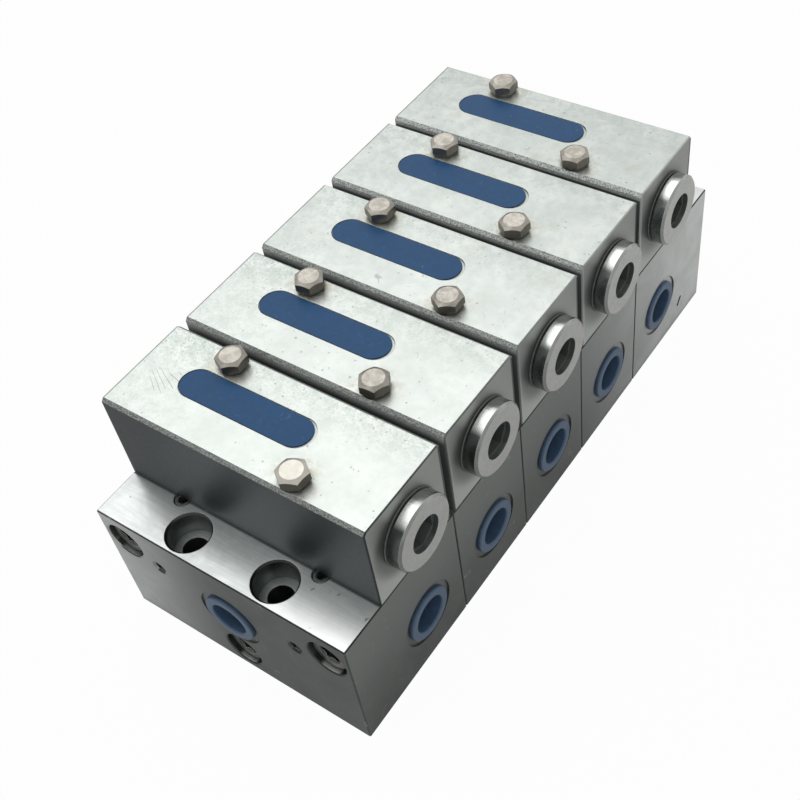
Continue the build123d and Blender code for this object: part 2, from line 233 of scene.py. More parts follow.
# %% Build the speck group
speck_group, given, result = start_group(
    "Specks",
    {"Vector": None, "Scale": 900.0, "Size": 0.3, "Share": 0.4},
    {"Mask": "Float"},
)
push_scale = times(speck_group, given["Scale"], 2.5)
push = node_in(speck_group, "TexNoise", Vector=given["Vector"], Scale=push_scale, Detail=2.0)
amount = calc(speck_group, "DIVIDE", 0.9, given["Scale"])
pushed = node_in(speck_group, "VectorMath", {"operation": "SCALE"}, Scale=amount)
wire(speck_group, push.outputs["Color"], pushed.inputs[0])
shifted = vector_step(speck_group, "ADD", given["Vector"], pushed.outputs[0])["Vector"]
cells = node_in(speck_group, "TexVoronoi", Vector=shifted, Scale=given["Scale"])
cell_chance = node_in(speck_group, "SeparateColor", Color=cells.outputs["Color"]).outputs
lucky = calc(speck_group, "LESS_THAN", cell_chance[0], given["Share"])
reach = times(speck_group, given["Size"], calc(speck_group, "ADD", cell_chance[1], 0.3))
inner = times(speck_group, reach, 0.5)
dot = fade_out(speck_group, cells.outputs["Distance"], inner, reach)
wire(speck_group, times(speck_group, dot, lucky), result["Mask"])
print("group:", speck_group.name)

# %% [markdown]
# **Clouds.** Zinc plating dries in pale and greyish clouds. A noise texture of low frequency gives them,
# and a soft step sets how much of the surface they cover.

# %% Build the cloud group
cloud_group, given, result = start_group(
    "Clouds",
    {"Vector": None, "Scale": 60.0, "Cover": 0.5, "Softness": 0.12},
    {"Mask": "Float"},
)
cloud_noise = node_in(
    cloud_group,
    "TexNoise",
    Vector=given["Vector"],
    Scale=given["Scale"],
    Detail=5.0,
    Roughness=0.62,
    Distortion=0.4,
).outputs["Fac"]
cut = calc(cloud_group, "SUBTRACT", 1.0, given["Cover"])
low_cut = calc(cloud_group, "SUBTRACT", cut, given["Softness"])
high_cut = calc(cloud_group, "ADD", cut, given["Softness"])
wire(cloud_group, soft_step(cloud_group, cloud_noise, low_cut, high_cut), result["Mask"])
print("group:", cloud_group.name)

# %% [markdown]
# **Grinding lines.** A grinding wheel leaves long, very fine parallel lines. Squeezing the coordinates
# along one axis before a noise texture stretches its grain the same way, which is cheaper and finer than
# modelling lines.

# %% Build the grinding line group
line_group, given, result = start_group(
    "Grinding lines",
    {"Vector": None, "Stretch": (0.03, 1.0, 1.0), "Scale": 3000.0},
    {"Height": "Float", "Streaks": "Float"},
)
squeezed = vector_step(line_group, "MULTIPLY", given["Vector"], given["Stretch"])["Vector"]
fine = node_in(line_group, "TexNoise", Vector=squeezed, Scale=given["Scale"], Detail=3.0, Roughness=0.7)
wide_scale = times(line_group, given["Scale"], 0.22)
wide = node_in(line_group, "TexNoise", Vector=squeezed, Scale=wide_scale, Detail=4.0, Roughness=0.6)
wire(line_group, fine.outputs["Fac"], result["Height"])
wire(line_group, soft_step(line_group, wide.outputs["Fac"], 0.38, 0.66), result["Streaks"])
print("group:", line_group.name)

# %% [markdown]
# **Which way a face points.** On a ground part each face was finished on its own, so the top, the bevels
# and the sides don't match. The object's own normal tells them apart. It turns with the part, so the finish
# stays on its face however the part is moved. Two more masks pick out the narrow breaks beside the ends,
# right and left.

# %% Build the face direction group
facing_group, given, result = start_group(
    "Face direction",
    {"Normal": None},
    {"Top": "Float", "Bevel": "Float", "End": "Float", "Right edge": "Float", "Left edge": "Float"},
)
part = axes(facing_group, given["Normal"])
steep_end = calc(facing_group, "ABSOLUTE", part["X"])
wire(facing_group, soft_step(facing_group, part["Z"], 0.82, 0.95), result["Top"])
bevel_lean = math.cos(math.radians(45.0))
off_bevel = calc(facing_group, "ABSOLUTE", calc(facing_group, "SUBTRACT", part["Z"], bevel_lean))
wire(facing_group, fade_out(facing_group, off_bevel, 0.08, 0.2), result["Bevel"])
wire(facing_group, soft_step(facing_group, steep_end, 0.75, 0.95), result["End"])
not_end = fade_out(facing_group, steep_end, 0.85, 0.95)
partly_right = soft_step(facing_group, part["X"], 0.3, 0.5)
partly_left = soft_step(facing_group, part["X"], -0.3, -0.5)
wire(facing_group, times(facing_group, partly_right, not_end), result["Right edge"])
wire(facing_group, times(facing_group, partly_left, not_end), result["Left edge"])
print("group:", facing_group.name)

# %% [markdown]
# ** Grime and shade in corners.** Oil and dust stay where a cloth can't reach, and shade falls there too: round
# a plug, at the foot of a valve, in a hole. The Ambient Occlusion node measures how closed-in a point is, so
# its masks paint both that grime and that shade. A short reach finds the corners, and a long one finds the
# bottoms of holes. Open is how much of the sky a point of a hole may still see, so a higher value also
# darkens shallow holes.

# %% Build the grime and shade group
grime_and_shade_group, given, result = start_group(
    "Grime and shade in corners",
    {"Reach": 2.0 * MM, "Depth": 7.0 * MM, "Open": 0.4},
    {"Corners": "Float", "Holes": "Float"},
)
near = node_in(grime_and_shade_group, "AmbientOcclusion", {"samples": 6}, Distance=given["Reach"]).outputs["AO"]
far = node_in(grime_and_shade_group, "AmbientOcclusion", {"samples": 12}, Distance=given["Depth"]).outputs["AO"]
wire(grime_and_shade_group, fade_out(grime_and_shade_group, near, 0.3, 0.85), result["Corners"])
wire(grime_and_shade_group, fade_out(grime_and_shade_group, far, 0.05, given["Open"]), result["Holes"])
print("group:", grime_and_shade_group.name)

# %% [markdown]
# **Hairline scratches.** A thin band round one value of a slow noise is a thin curved line, like the height
# line on a map. A second noise rubs most of each line out, so that short arcs are left.

# %% Build the hairline group
hairline_group, given, result = start_group(
    "Hairlines",
    {"Vector": None, "Scale": 90.0, "Width": 0.006, "Share": 0.3},
    {"Mask": "Float"},
)
same = {"Vector": given["Vector"], "Scale": given["Scale"]}
slow_noise = node_in(hairline_group, "TexNoise", **same, Detail=1.0)
off_line = calc(hairline_group, "SUBTRACT", slow_noise.outputs["Fac"], 0.5)
line = fade_out(hairline_group, calc(hairline_group, "ABSOLUTE", off_line), 0.0, given["Width"])
rubbed_and_lit = node_in(hairline_group, "TexNoise", **same, Detail=3.0, Distortion=1.5)
kept_above = calc(hairline_group, "SUBTRACT", 0.72, times(hairline_group, given["Share"], 0.4))
kept_full = calc(hairline_group, "ADD", kept_above, 0.06)
kept = soft_step(hairline_group, rubbed_and_lit.outputs["Fac"], kept_above, kept_full)
wire(hairline_group, times(hairline_group, line, kept), result["Mask"])
print("group:", hairline_group.name)

# %% [markdown]
# ## Starting a finish
#
# Every material starts the same way: a Principled shader joined to the output, and the object's own
# coordinates, which are metres here and the same in every part. Plain values are set straight on the
# shader.

# %% Define how a finish starts
def start_finish(name, **plain):
    """A new material, its node tree, its Principled shader and its texture coordinates."""
    material = bpy.data.materials.new(name)
    material.use_nodes = True
    tree = material.node_tree
    shader = tree.nodes["Principled BSDF"]
    feed(tree, shader, **plain)
    where = node_in(tree, "TexCoord").outputs
    return material, tree, shader, where


def relief(tree, shader, height, strength, distance, normal):
    """Feeds a height through a Bump node, on top of a rounded corner's normal."""
    bump = node_in(tree, "Bump", Height=height, Strength=strength, Distance=distance, Normal=normal)
    wire(tree, bump.outputs["Normal"], shader.inputs["Normal"])


def layered(tree, colour, *layers):
    """Lays colours over the first one, each given as (mask, how strongly, colour)."""
    for mask, strength, over in layers:
        colour = mixed(tree, times(tree, mask, strength), colour, over)
    return colour


finishes = {}

# %% [markdown]
# ## Valve bodies
#
# The bars were ground on all sides and then plated. Their tops are pale silver with greenish grey clouds
# and dark specks. The long bevels are rough, the ends are a plain grey, and the upright walls are smooth
# and dark. Each face could have a material of its own, but a solid comes with one slot. So one material
# does it all, and the face direction group chooses between the finishes.
#
# Along the row the far valves have paler bevels, and darker tops in painted light. A value called
# backwards goes from 0 at the front of the block to 1 at its rear, and several strengths below follow it.

# %% Name the colours of the valves
top_pale = (0.72, 0.755, 0.72)
top_cloud = (0.50, 0.55, 0.52)
top_grain = (0.33, 0.38, 0.35)
top_warm = (0.52, 0.48, 0.37)
# Painted reflection on the first valve's front wall: dark, paler in the middle
front_dark = (0.038, 0.045, 0.047)
front_lit = (0.058, 0.07, 0.073)
rear_grey = (0.2, 0.215, 0.205)
gap_grey = (0.11, 0.12, 0.115)
end_grey = (0.292, 0.305, 0.292)
bevel_pale = (0.34, 0.36, 0.34)
bevel_far = (0.6, 0.63, 0.6)
# Painted light at the top of the gap walls
lit_band_grey = (0.70, 0.73, 0.71)
# Painted highlight on the ends' front edges and the far right breaks
edge_highlight = (0.55, 0.56, 0.55)
# Dark for grime and for painted shade
grime_and_shade_dark = (0.025, 0.027, 0.027)
# Dark for specks and scratches, and for painted shade in the corners of the tops
speck_and_shade_dark = (0.12, 0.13, 0.12)
print("palest steel on the valves:", top_pale, "and darkest:", grime_and_shade_dark)

# %% Measure the valves, their bolts and their plugs
valve_low, valve_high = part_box("valve_body_1")
valve_width = valve_high.y - valve_low.y
last_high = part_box("valve_body_5")[1]
row_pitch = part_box("valve_body_2")[0].y - valve_low.y
bolt_low, bolt_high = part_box("valve_bolts_1")
plug_low, plug_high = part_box("end_plug_1")
plug_middle = (plug_low + plug_high) / 2
plug_radius = (plug_high.z - plug_low.z) / 2
plug_mouth = plug_radius / 2
# From the outside of a bolt's head to the bolt's middle
bolt_reach = 3.9 * MM
bolt_spots = (
    (bolt_low.x + bolt_reach, bolt_high.y - bolt_reach),
    (bolt_high.x - bolt_reach, bolt_low.y + bolt_reach),
)
print("valves every", round(row_pitch * 1000, 2), "mm, bolts of the first at", bolt_spots)
print("end plugs", round(plug_radius * 2000, 2), "mm across")

# %% [markdown]
# ** Where on a valve.** Stains sit round the bolts, and painted shade sits round the plugs. All five valves
# share one material, so its nodes work out where on its own valve a spot lies. Folding the Y coordinate at
# every pitch of the row does that, without five copies of the material.

# %% Define the distances on a valve
def straight_line(tree, first, second):
    """The length of the straight line that two steps at right angles make."""
    squares = calc(tree, "ADD", times(tree, first, first), times(tree, second, second))
    return calc(tree, "SQRT", squares)


def from_plugs(tree, place, shift=0.0):
    """The distance to the axis of the nearest end plug, seen along the valves."""
    past_plug = calc(tree, "SUBTRACT", place["Y"], plug_middle.y + shift)
    along = calc(tree, "PINGPONG", past_plug, row_pitch / 2)
    up = calc(tree, "SUBTRACT", place["Z"], plug_middle.z)
    return straight_line(tree, along, up)


def from_bolts(tree, place, across):
    """The distance to the nearer bolt of the valve, in the plane of its top."""
    gaps = []
    for x, y in bolt_spots:
        side = calc(tree, "SUBTRACT", place["X"], x)
        back = calc(tree, "SUBTRACT", across, y - valve_low.y)
        gaps.append(straight_line(tree, side, back))
    return calc(tree, "MINIMUM", *gaps)


print("distance helpers ready")

# %% [markdown]
# **Marks on the tops.** The first valve alone was scuffed: it has a few short parallel arcs beside its
# plate. They could be painted as an image, but distances to a fixed centre, folded into bands, draw them at
# any size. Each bolt has left a warm stain and a faint ring where its washer turned, and dark lines run
# along the left and rear rims.

# %% Define the marks on the tops
scuff_place = (-29.0 * MM, -61.0 * MM, valve_high.z)
scuff_centre = (-22.5 * MM, -51.0 * MM, valve_high.z)
scuff_half_gap = 0.65 * MM
scuff_wander = 9.0 * MM
scuff_inner = 3.6 * MM
scuff_outer = 4.8 * MM
stain_inner = 3.6 * MM
stain_outer = 8.5 * MM
ring_radius = 5.3 * MM
print("scuffed at", scuff_place, "with arcs", round(2000 * scuff_half_gap, 2), "mm apart")


def scuff_arcs(tree, spot):
    """Parallel arcs, made wavy by one noise and broken up by another."""
    wander = node_in(tree, "TexNoise", Vector=spot, Scale=90.0, Detail=0.0).outputs["Fac"]
    wavy = times(tree, wander, scuff_wander)
    from_centre = vector_step(tree, "DISTANCE", spot, scuff_centre)["Value"]
    arc_radius = calc(tree, "ADD", from_centre, wavy)
    off_arc = calc(tree, "PINGPONG", arc_radius, scuff_half_gap)
    broken = node_in(tree, "TexNoise", Vector=spot, Scale=220.0, Detail=1.0).outputs["Fac"]
    thin = fade_out(tree, off_arc, 0.02 * MM, 0.09 * MM)
    arcs = times(tree, thin, soft_step(tree, broken, 0.42, 0.5))
    from_scuff = vector_step(tree, "DISTANCE", spot, scuff_place)["Value"]
    return times(tree, arcs, fade_out(tree, from_scuff, scuff_inner, scuff_outer))


def bolt_marks(tree, place, across, clouds, patches):
    """The stain round each bolt and the ring of its washer, both uneven."""
    bolt_gap = from_bolts(tree, place, across)
    stain = times(tree, fade_out(tree, bolt_gap, stain_inner, stain_outer), patches)
    off_ring = calc(tree, "ABSOLUTE", calc(tree, "SUBTRACT", bolt_gap, ring_radius))
    ring = times(tree, fade_out(tree, off_ring, 0.05 * MM, 0.2 * MM), clouds)
    return stain, ring


def dark_rims(tree, place, across, grain):
    """A dark line at the left end of a top and one, broken by the grain, along its rear."""
    at_left = fade_out(tree, place["X"], valve_low.x + 0.45 * MM, valve_low.x + 0.75 * MM)
    at_back = soft_step(tree, across, valve_width - 0.55 * MM, valve_width - 0.3 * MM)
    return calc(tree, "MAXIMUM", at_left, times(tree, at_back, grain))


# %% [markdown]
# **The tops.** Under those marks lie three sizes of cloud: broad ones about 10 mm wide, patches of 2 to 3
# mm, and a dull fine grain. Warm patches show on the far valves. The grain is strongest at the rear and
# left of each top, and above all on the near valves. A few specks and hairlines finish it. Noises of three
# scales are cheap, and one alone would look like camouflage.

# %% Define the whole top
# Painted light: how much darker the last top is than the first
far_top_shade = 0.83
dull_from = 15.0 * MM
dull_to = 27.0 * MM
dull_left = -35.0 * MM


def valve_top(tree, spot, place, across, backwards):
    """The pale plated top with its clouds, grain, specks, scratches and stains, and painted darker to the
    rear.
    """
    clouds = placed(tree, cloud_group, Vector=spot, Scale=95.0, Cover=0.5, Softness=0.2)["Mask"]
    patches = placed(tree, cloud_group, Vector=spot, Scale=420.0, Cover=0.48, Softness=0.12)["Mask"]
    grain = placed(tree, cloud_group, Vector=spot, Scale=1900.0, Cover=0.46, Softness=0.07)["Mask"]
    warm = placed(tree, cloud_group, Vector=spot, Scale=150.0, Cover=0.35, Softness=0.1)["Mask"]
    specks = placed(tree, speck_group, Vector=spot, Scale=1000.0, Size=0.3, Share=0.1)["Mask"]
    hairs = placed(tree, hairline_group, Vector=spot, Scale=110.0, Width=0.006, Share=0.3)["Mask"]
    behind = soft_step(tree, across, dull_from, dull_to, 0.0, 0.36)
    leftwards = soft_step(tree, place["X"], 0.0, dull_left, 0.0, 0.22)
    nearness = between(tree, backwards, 1.0, 0.45)
    grain_seen = times(tree, calc(tree, "ADD", behind, leftwards), nearness)
    patches_seen = calc(tree, "ADD", grain_seen, between(tree, backwards, 0.15, 0.35))
    clouds_seen = between(tree, backwards, 0.35, 0.55)
    warm_far = times(tree, warm, backwards)
    stain, ring = bolt_marks(tree, place, across, clouds, patches)
    rims = dark_rims(tree, place, across, grain)
    top = layered(tree, top_pale, (clouds, clouds_seen, top_cloud), (patches, patches_seen, top_cloud))
    top = layered(tree, top, (warm_far, 0.3, top_warm), (grain, grain_seen, top_grain))
    top = layered(tree, top, (stain, 0.7, top_warm), (ring, 0.35, top_cloud))
    top = layered(tree, top, (specks, 0.5, speck_and_shade_dark), (hairs, 0.4, speck_and_shade_dark))
    top = layered(tree, top, (scuff_arcs(tree, spot), 0.7, speck_and_shade_dark), (rims, 0.7, speck_and_shade_dark))
    # Painted light: the tops get darker towards the rear of the row
    tone = soft_step(tree, place["Y"], solid_low.y, solid_high.y, 1.0, far_top_shade)
    return mixed(tree, 1.0, top, tone, "MULTIPLY")


print("the last top is darker than the first by", round(1 - far_top_shade, 2))

# %% [markdown]
# ** Walls and ends.** The first valve's front wall is smooth steel that mirrors a dark room. The studio here
# is white, so the wall simply gets that dark colour, a painted reflection that is paler near its middle,
# which is surer than hanging black cards. The walls in the narrow gaps are oily and dull, with a band of
# painted light just under their bevels. Each end is painted paler low down and has a painted highlight along
# its front edge, which shows on the far valves, a dark strip along its rear edge, and a soft ring of painted
# shade and reflection round the plug, a little off centre.

# %% Define the walls and ends
wall_margin = 1.0 * MM
# How far down the gap walls the painted light reaches, and where it is full
lit_reach_first = 3.8 * MM
lit_reach_last = 2.0 * MM
lit_full_first = 0.3 * MM
lit_full_last = 1.6 * MM
lit_inner = 4.0 * MM
lit_outer = 28.0 * MM
end_low = 42.0 * MM
end_high = 60.0 * MM
halo_drift = -2.5 * MM
halo_first = 3.0 * MM
halo_last = 5.0 * MM
print("walls are rubbed down to", round(lit_reach_first * 1000, 1), "mm under the first top")


def valve_wall(tree, place, backwards, pepper, before_last, in_gap):
    """The dark front wall, the dull walls of the gaps with their band of painted light, and the grey rear
    wall.
    """
    # Painted light: a pale band at the top of each gap wall, just under the bevel
    lit_band_low = between(tree, backwards, valve_high.z - lit_reach_first, valve_high.z - lit_reach_last)
    lit_band_high = between(tree, backwards, valve_high.z - lit_full_first, valve_high.z - lit_full_last)
    rubbed_and_lit = times(tree, soft_step(tree, place["Z"], lit_band_low, lit_band_high), in_gap)
    off_middle = calc(tree, "ABSOLUTE", place["X"])
    # Painted reflection: the front wall is dark, and paler near the middle of its length
    front = mixed(tree, fade_out(tree, off_middle, lit_inner, lit_outer), front_dark, front_lit)
    wall = mixed(tree, in_gap, mixed(tree, before_last, rear_grey, front), gap_grey)
    pitted = times(tree, rubbed_and_lit, pepper)
    return layered(tree, wall, (rubbed_and_lit, 1.0, lit_band_grey), (pitted, 0.5, grime_and_shade_dark))


def valve_end(tree, place, across, backwards, corners):
    """The plain grey end with its strips, painted paler low down, and painted shade round the plug on the
    right one.
    """
    # Painted light: the end is paler low down
    end_tone = soft_step(tree, place["Z"], end_low, end_high, 1.55, 1.15)
    end = mixed(tree, 1.0, end_grey, end_tone, "MULTIPLY")
    # Painted shade and reflection of the plug: a dark ring round it, a little off centre, only on the right
    # end
    halo_end = between(tree, backwards, plug_radius + halo_first, plug_radius + halo_last)
    off_plug = from_plugs(tree, place, halo_drift)
    halo = fade_out(tree, off_plug, plug_radius - 1.0 * MM, halo_end)
    halo = times(tree, halo, calc(tree, "GREATER_THAN", place["X"], 0.0))
    # Painted highlight along the front edge of each end, stronger on the far valves
    strip = times(tree, fade_out(tree, across, 0.8 * MM, 1.0 * MM), backwards)
    back_strip = soft_step(tree, across, valve_width - 1.0 * MM, valve_width - 0.8 * MM)
    end = layered(tree, end, (halo, 0.55, grime_and_shade_dark), (strip, 0.8, edge_highlight))
    # Painted shade in the corners of the end, and a dark strip along its rear edge
    return layered(tree, end, (corners, 0.3, grime_and_shade_dark), (back_strip, 0.8, grime_and_shade_dark))


# %% [markdown]
# ** The whole valve.** The face direction group picks top, bevel, wall or end. Then the corners are worn on
# top of all of them, and the narrow breaks beside the ends get a tone of their own: painted shade on the
# near right breaks, a painted highlight on the far ones, and dark on the left. The gap walls are hardly
# metallic: a mirror down there would show the bright lamp, and real ones are covered in oily dirt.

# %% Make the valve steel
def valve_steel():
    """The steel of the five valve bodies, with all their faces."""
    material, tree, shader, where = start_finish("Valve steel")
    spot = where["Object"]
    place = axes(tree, spot)
    # The fold starts a hair in front of the valve, so that its front edge isn't counted as the gap's end
    past_edge = calc(tree, "SUBTRACT", place["Y"], valve_low.y - 0.01 * MM)
    across = calc(tree, "MODULO", past_edge, row_pitch)
    backwards = soft_step(tree, place["Y"], solid_low.y, solid_high.y)
    behind_first = calc(tree, "GREATER_THAN", place["Y"], valve_low.y + wall_margin)
    before_last = calc(tree, "LESS_THAN", place["Y"], last_high.y - wall_margin)
    in_gap = times(tree, behind_first, before_last)
    face = placed(tree, facing_group, Normal=where["Normal"])
    edge = placed(tree, worn_corner, Radius=0.26 * MM)
    grime_and_shade = placed(tree, grime_and_shade_group, Reach=1.6 * MM)
    mottle = placed(tree, cloud_group, Vector=spot, Scale=1500.0, Cover=0.5, Softness=0.2)["Mask"]
    pepper = placed(tree, cloud_group, Vector=spot, Scale=2800.0, Cover=0.5, Softness=0.06)["Mask"]
    top = valve_top(tree, spot, place, across, backwards)
    # Painted shade in the corners of the top
    top = layered(tree, top, (grime_and_shade["Corners"], 0.6, speck_and_shade_dark))
    bevel = layered(tree, mixed(tree, backwards, bevel_pale, bevel_far), (pepper, 0.6, grime_and_shade_dark))
    wall = valve_wall(tree, place, backwards, pepper, before_last, in_gap)
    end = valve_end(tree, place, across, backwards, grime_and_shade["Corners"])
    upright = mixed(tree, face["End"], wall, end)
    colour = mixed(tree, face["Bevel"], mixed(tree, face["Top"], upright, top), bevel)
    # Painted light on the right breaks: shade on the near valves, a highlight on the far ones
    right_edge_light = mixed(tree, backwards, grime_and_shade_dark, edge_highlight)
    off_top = calc(tree, "SUBTRACT", 1.0, times(tree, face["Top"], 0.6))
    worn_dark = times(tree, edge["Wear"], off_top)
    colour = layered(tree, colour, (worn_dark, 0.55, grime_and_shade_dark), (face["Right edge"], 0.85, right_edge_light))
    colour = layered(tree, colour, (face["Left edge"], 0.9, grime_and_shade_dark))
    shining = calc(tree, "MAXIMUM", calc(tree, "MAXIMUM", face["Top"], face["Bevel"]), face["End"])
    matt = calc(tree, "SUBTRACT", in_gap, shining, clamp=True)
    metallic = between(tree, matt, 0.85, 0.1)
    even = between(tree, mottle, 0.44, 0.48)
    rough = calc(tree, "ADD", even, times(tree, face["Bevel"], 0.2))
    rough = calc(tree, "ADD", rough, times(tree, matt, 0.3))
    rough = calc(tree, "SUBTRACT", rough, times(tree, face["Top"], 0.04))
    feed(tree, shader, Base_Color=colour, Metallic=metallic, Roughness=rough)
    relief(tree, shader, mottle, 0.12, 0.02 * MM, edge["Normal"])
    return material


finishes["valve_steel"] = valve_steel()
print("finish:", finishes["valve_steel"].name)

# %% [markdown]
# ## Base sections
#
# The base was ground too, along X on top, so its open ledge shows bright patches and fine streaks. The
# ledge is brightest at its front right corner, where the real one mirrors a light. The inlet face fades
# from pale on the left to dark on the right, and the sides get paler upwards and towards the rear. Those
# fades are reflections on the real steel. They are written into its colour here, because this plain studio
# has nothing to mirror.
#
# Five sections are drawn together by long screws, and a dark line of oil marks each joint. All joints are
# one pitch apart, so folding the Y coordinate back and forth gives the distance to the nearest one.

# %% Name the colours of the base and measure its joints
ledge_bright = (0.96, 0.99, 0.975)
ledge_white = (1.0, 1.0, 1.0)
ledge_streak = (0.42, 0.47, 0.46)
front_pale = (0.515, 0.535, 0.525)
front_grey = (0.044, 0.051, 0.049)
side_grey = (0.084, 0.094, 0.087)
side_pale = (0.63, 0.645, 0.635)
cloud_grey = (0.215, 0.23, 0.212)
hollow_grey = (0.3, 0.34, 0.33)
hollow_dark = (0.045, 0.05, 0.048)
joint_line = 0.14 * MM
joint_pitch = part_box("middle_block_1")[1].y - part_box("middle_block_1")[0].y
first_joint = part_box("middle_block_1")[0].y
last_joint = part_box("end_block")[0].y
print("joint pitch", round(joint_pitch * 1000, 2), "mm, first joint at", round(first_joint * 1000, 2), "mm")

# %% Define the faces of the base
fade_left = solid_low.x - 6.0 * MM
fade_right = 2.0 * MM
side_height = 40.0 * MM
mouth_floor = 33.0 * MM
mouth_wall = 34.5 * MM
print("the inlet face fades from", round(fade_left * 1000, 2), "to", round(fade_right * 1000, 2), "mm")


def joint_mask(tree, spot):
    """1 on the thin lines where two sections meet."""
    along = axes(tree, spot)["Y"]
    away = calc(tree, "PINGPONG", calc(tree, "SUBTRACT", along, first_joint), joint_pitch / 2)
    near = fade_out(tree, away, joint_line, joint_line * 1.6)
    inside_first = calc(tree, "GREATER_THAN", along, first_joint - joint_pitch / 2)
    inside_last = calc(tree, "LESS_THAN", along, last_joint + joint_pitch / 2)
    return times(tree, near, times(tree, inside_first, inside_last))


def ledge_top(tree, place, streaks, clouds):
    """The bright top of the base, whitest at its front right corner."""
    top = layered(tree, ledge_bright, (streaks, 0.22, ledge_streak), (clouds, 0.5, ledge_streak))
    rightwards = soft_step(tree, place["X"], solid_low.x, solid_high.x, 0.76, 1.0)
    top = mixed(tree, 1.0, top, rightwards, "MULTIPLY")
    near_front = fade_out(tree, place["Y"], solid_low.y, valve_low.y)
    near_right = soft_step(tree, place["X"], 0.0, solid_high.x)
    return layered(tree, top, (times(tree, near_front, near_right), 0.85, ledge_white))


def upright_faces(tree, place, face, clouds):
    """The inlet and rear faces, which fade along X, and the two long sides."""
    front = mixed(tree, soft_step(tree, place["X"], fade_left, fade_right), front_pale, front_grey)
    side_tone = soft_step(tree, place["Z"], 0.0, side_height, 0.55, 1.9)
    side = mixed(tree, 1.0, side_grey, side_tone, "MULTIPLY")
    side = mixed(tree, soft_step(tree, place["Y"], 0.0, solid_high.y), side, side_pale)
    upright = mixed(tree, face["End"], front, side)
    return layered(tree, upright, (clouds, 0.3, cloud_grey))


# %% [markdown]
# ** Shade on the base.** A ragged dark line of painted shade lies at the foot of the first valve and in the gaps,
# and the corners get painted shade too. The rear ledge is open to the light, so its painted shade is cut
# away.
# The wide mouths of the mounting holes catch the light, and everything deeper is dark: their height tells
# them apart.

# %% Make the section steel
def section_steel():
    """The steel of the five base sections, with the lines of oil where they meet."""
    material, tree, shader, where = start_finish("Section steel")
    spot = where["Object"]
    place = axes(tree, spot)
    face = placed(tree, facing_group, Normal=where["Normal"])
    edge = placed(tree, worn_corner, Radius=0.28 * MM)
    grime_and_shade = placed(tree, grime_and_shade_group, Reach=1.4 * MM, Open=0.8)
    lines = placed(tree, line_group, Vector=spot, Stretch=(0.08, 1.0, 1.0), Scale=7000.0)
    clouds = placed(tree, cloud_group, Vector=spot, Scale=70.0, Cover=0.5, Softness=0.2)["Mask"]
    ragged = placed(tree, cloud_group, Vector=spot, Scale=700.0, Cover=0.7, Softness=0.1)["Mask"]
    specks = placed(tree, speck_group, Vector=spot, Scale=520.0, Size=0.2, Share=0.12)["Mask"]
    hairs = placed(tree, hairline_group, Vector=spot, Scale=150.0, Width=0.008, Share=0.4)["Mask"]
    # The rear ledge stays bright up to the last valve's wall, and so do its edges
    at_rear = calc(tree, "GREATER_THAN", place["Y"], last_high.y)
    rear_ledge = times(tree, face["Top"], at_rear)
    holes = calc(tree, "SUBTRACT", grime_and_shade["Holes"], times(tree, rear_ledge, 0.85), clamp=True)
    wear_seen = soft_step(tree, place["Y"], last_high.y - 3.0 * MM, last_high.y, 0.65, 0.2)
    worn = times(tree, edge["Wear"], wear_seen)
    burred = calc(tree, "SUBTRACT", times(tree, face["Bevel"], ragged), at_rear, clamp=True)
    # Painted shade: a ragged dark line at the first valve's foot and in the gaps, but not on the rear ledge
    foot_shade = soft_step(tree, place["Y"], valve_low.y - 0.55 * MM, valve_low.y - 0.25 * MM)
    foot_shade = calc(tree, "SUBTRACT", times(tree, foot_shade, ragged), at_rear, clamp=True)
    top = layered(tree, ledge_top(tree, place, lines["Streaks"], clouds), (foot_shade, 0.8, grime_and_shade_dark))
    hollow = mixed(tree, soft_step(tree, place["Z"], mouth_floor, mouth_wall), hollow_dark, hollow_grey)
    colour = mixed(tree, face["Top"], upright_faces(tree, place, face, clouds), top)
    colour = layered(tree, colour, (specks, 0.6, speck_and_shade_dark), (hairs, 0.15, ledge_bright))
    colour = layered(tree, colour, (worn, 1.0, grime_and_shade_dark), (joint_mask(tree, spot), 0.9, grime_and_shade_dark))
    colour = layered(tree, colour, (burred, 0.9, grime_and_shade_dark))
    # Painted shade in corners and deep in holes, with paler painted light on the mouths of the holes
    colour = layered(tree, colour, (grime_and_shade["Corners"], 0.5, grime_and_shade_dark), (holes, 0.95, hollow))
    dull = calc(tree, "MAXIMUM", holes, times(tree, rear_ledge, 0.7))
    metallic = between(tree, dull, 0.85, 0.2)
    rough = calc(tree, "SUBTRACT", between(tree, clouds, 0.35, 0.39), times(tree, face["Top"], 0.06))
    feed(tree, shader, Base_Color=colour, Metallic=metallic, Roughness=rough)
    relief(tree, shader, lines["Height"], 0.15, 0.02 * MM, edge["Normal"])
    return material


finishes["section_steel"] = section_steel()
print("finish:", finishes["section_steel"].name)

# %% [markdown]
# ## Turned and bought parts
#
# Plugs, bolts, washers and screws came off a lathe or out of a box. They share one recipe: a colour for the
# face that looks outwards, a darker one for the sides with a painted highlight, a brighter strip, near their
# top, worn corners in a tone of their own, and painted shade round the foot and in the hole. Only the values
# differ, so one function makes them all.
#
# After the colours and the roughness, mottled and specks_seen say how strongly clouds and specks show,
# faced says how squarely a face must look outwards to count as finished, and hollow and inside are the
# strength and colour of the painted shade in a hole.
#
# Two parts need a rule of their own. A plug has a round mouth before its hexagon socket, which is darkened
# by its distance from the plug's axis. One bolt of the first valve has a fresh pale crown, because it is
# newer than the rest.

# %% Define the finish of a small steel part
hole_dark = (0.06, 0.07, 0.065)
worn_pale = (0.72, 0.70, 0.63)
highlight_normal = (0.0, -0.26, 0.97)


def fresh_bolt(tree, place):
    """1 on the right bolt of the first valve."""
    at_right = calc(tree, "GREATER_THAN", place["X"], 0.0)
    on_first = calc(tree, "LESS_THAN", place["Y"], valve_high.y)
    return times(tree, at_right, on_first)


